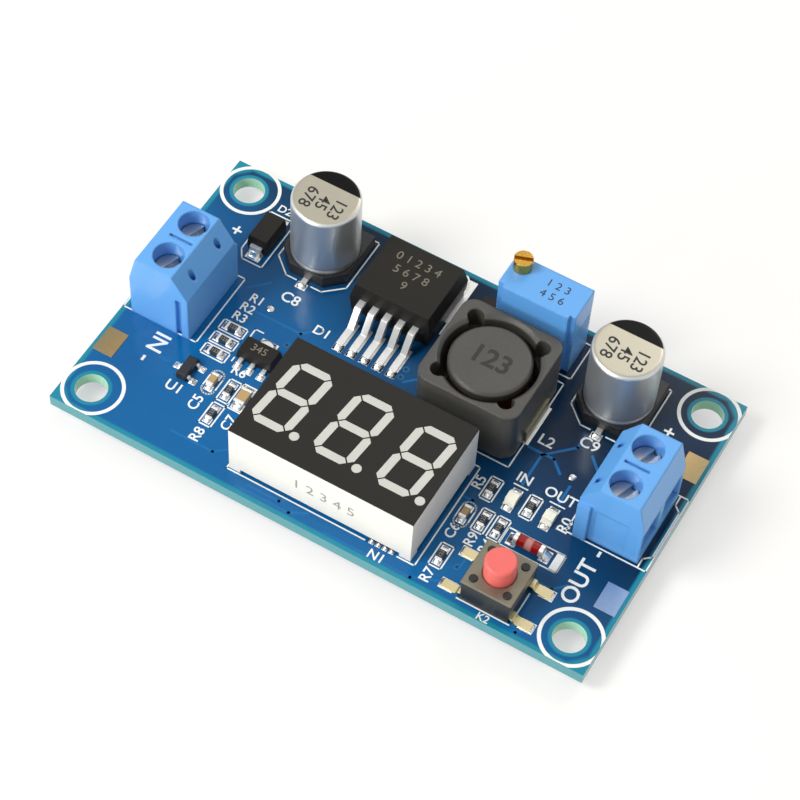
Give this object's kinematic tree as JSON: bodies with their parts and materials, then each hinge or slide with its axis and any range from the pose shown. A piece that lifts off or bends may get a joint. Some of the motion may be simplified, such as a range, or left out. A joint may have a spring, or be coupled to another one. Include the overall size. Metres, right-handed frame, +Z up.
{
  "type": "buck converter module",
  "caption": "Flat circuit board with a screw terminal block at each end, a step-down regulator, inductor, capacitors, trimmer, digit display and push button.",
  "frame": {"origin": "under the centre of the board, at the level of the ends of the soldered pins, on which the module rests", "axes": "+X along the board from the input terminals to the output terminals, +Y from the display to the capacitors, +Z up through the component side"},
  "size_m": [0.066, 0.039, 0.0148],
  "materials": {
    "board": "glossy blue solder mask over glass-fibre laminate",
    "tinned_pad": "satin plated copper",
    "solder": "bright solder",
    "terminal_blue": "moulded, slightly satin",
    "brass": "plated, satin",
    "zinc_steel": "zinc plated, satin",
    "can_aluminium": "satin",
    "black_plastic": "moulded, satin",
    "epoxy_black": "moulded epoxy, matte",
    "tin": "tin plated, bright",
    "ferrite": "ground ferrite, dull",
    "copper_wire": "enamelled copper",
    "screw_brass": "turned brass",
    "shell_white": "moulded, satin",
    "face_dark": "printed, matte",
    "segment_grey": "diffusing resin",
    "resin": "cast resin",
    "cover_metal": "rolled, dull",
    "button_red": "moulded, satin",
    "silver_lead": "silver-plated brass",
    "red_glass": "clear, glossy",
    "lamp_white": "moulded, satin",
    "lamp_lens": "clear resin",
    "ceramic_tan": "fired ceramic",
    "chip_black": "glazed film"
  },
  "bodies": {
    "module": {"circuit_board": "board", "wire_pads": "tinned_pad", "solder_joints": "solder", "input_terminal_housing": "terminal_blue", "input_terminal_frames": "brass", "output_terminal_housing": "terminal_blue", "output_terminal_frames": "brass", "input_capacitor_can": "can_aluminium", "input_capacitor_base": "black_plastic", "input_capacitor_leads": "tin", "output_capacitor_can": "can_aluminium", "output_capacitor_base": "black_plastic", "output_capacitor_leads": "tin", "regulator_body": "epoxy_black", "regulator_leads": "tin", "regulator_tab": "tin", "inductor_shield": "ferrite", "inductor_drum": "ferrite", "inductor_winding": "copper_wire", "inductor_clips": "tin", "trimmer_housing": "terminal_blue", "trimmer_pins": "tin", "display_shell": "shell_white", "display_face": "face_dark", "display_segments": "segment_grey", "display_sealing": "resin", "display_pins": "tin", "switch_base": "black_plastic", "switch_cover": "cover_metal", "switch_dome": "zinc_steel", "switch_leads": "silver_lead", "input_diode_body": "epoxy_black", "input_diode_leads": "tin", "catch_diode_body": "epoxy_black", "catch_diode_leads": "tin", "glass_diode_tube": "red_glass", "glass_diode_caps": "tin", "transistor_body": "epoxy_black", "transistor_leads": "tin", "reference_body": "epoxy_black", "reference_leads": "tin", "indicator_bases": "lamp_white", "indicator_lenses": "lamp_lens", "chip_resistors": "chip_black", "chip_capacitors": "ceramic_tan", "chip_ends": "tin", "resistor_arrays": "chip_black", "microcontroller_body": "epoxy_black", "microcontroller_leads": "tin"},
    "input_plate_negative": {"input_plate_negative": "zinc_steel"},
    "input_screw_negative": {"input_screw_negative": "zinc_steel"},
    "input_plate_positive": {"input_plate_positive": "zinc_steel"},
    "input_screw_positive": {"input_screw_positive": "zinc_steel"},
    "output_plate_negative": {"output_plate_negative": "zinc_steel"},
    "output_screw_negative": {"output_screw_negative": "zinc_steel"},
    "output_plate_positive": {"output_plate_positive": "zinc_steel"},
    "output_screw_positive": {"output_screw_positive": "zinc_steel"},
    "trimmer_screw": {"trimmer_screw": "screw_brass"},
    "switch_button": {"switch_button": "button_red"}
  },
  "joints": [
    {"name": "input_negative_plate_slide", "type": "slide", "parent": "module", "child": "input_plate_negative", "axis": [0, 0, 1], "range_m": [0, 0.0019]},
    {"name": "input_negative_screw_turn", "type": "hinge", "parent": "input_plate_negative", "child": "input_screw_negative", "pos_m": [-0.02805, -0.00269, 0.0095], "axis": [0, 0, 1], "range_deg": [0, 1368]},
    {"name": "input_positive_plate_slide", "type": "slide", "parent": "module", "child": "input_plate_positive", "axis": [0, 0, 1], "range_m": [0, 0.0019]},
    {"name": "input_positive_screw_turn", "type": "hinge", "parent": "input_plate_positive", "child": "input_screw_positive", "pos_m": [-0.02805, 0.00239, 0.0095], "axis": [0, 0, 1], "range_deg": [0, 1368]},
    {"name": "output_negative_plate_slide", "type": "slide", "parent": "module", "child": "output_plate_negative", "axis": [0, 0, 1], "range_m": [0, 0.0019]},
    {"name": "output_negative_screw_turn", "type": "hinge", "parent": "output_plate_negative", "child": "output_screw_negative", "pos_m": [0.02805, -0.00269, 0.0095], "axis": [0, 0, 1], "range_deg": [0, 1368]},
    {"name": "output_positive_plate_slide", "type": "slide", "parent": "module", "child": "output_plate_positive", "axis": [0, 0, 1], "range_m": [0, 0.0019]},
    {"name": "output_positive_screw_turn", "type": "hinge", "parent": "output_plate_positive", "child": "output_screw_positive", "pos_m": [0.02805, 0.00239, 0.0095], "axis": [0, 0, 1], "range_deg": [0, 1368]},
    {"name": "trimmer_screw_turn", "type": "hinge", "parent": "module", "child": "trimmer_screw", "pos_m": [0.00558, 0.01616, 0.0133], "axis": [0, 0, 1], "continuous": true},
    {"name": "switch_button_press", "type": "slide", "parent": "module", "child": "switch_button", "axis": [0, 0, -1], "range_m": [0, 0.00025], "stiffness_N_per_m": 400, "deforming": ["switch_dome"]}
  ],
  "couplings": [
    {"joint": "input_negative_screw_turn", "follows": "input_negative_plate_slide", "rad_per_m": 12566},
    {"joint": "input_positive_screw_turn", "follows": "input_positive_plate_slide", "rad_per_m": 12566},
    {"joint": "output_negative_screw_turn", "follows": "output_negative_plate_slide", "rad_per_m": 12566},
    {"joint": "output_positive_screw_turn", "follows": "output_positive_plate_slide", "rad_per_m": 12566}
  ]
}
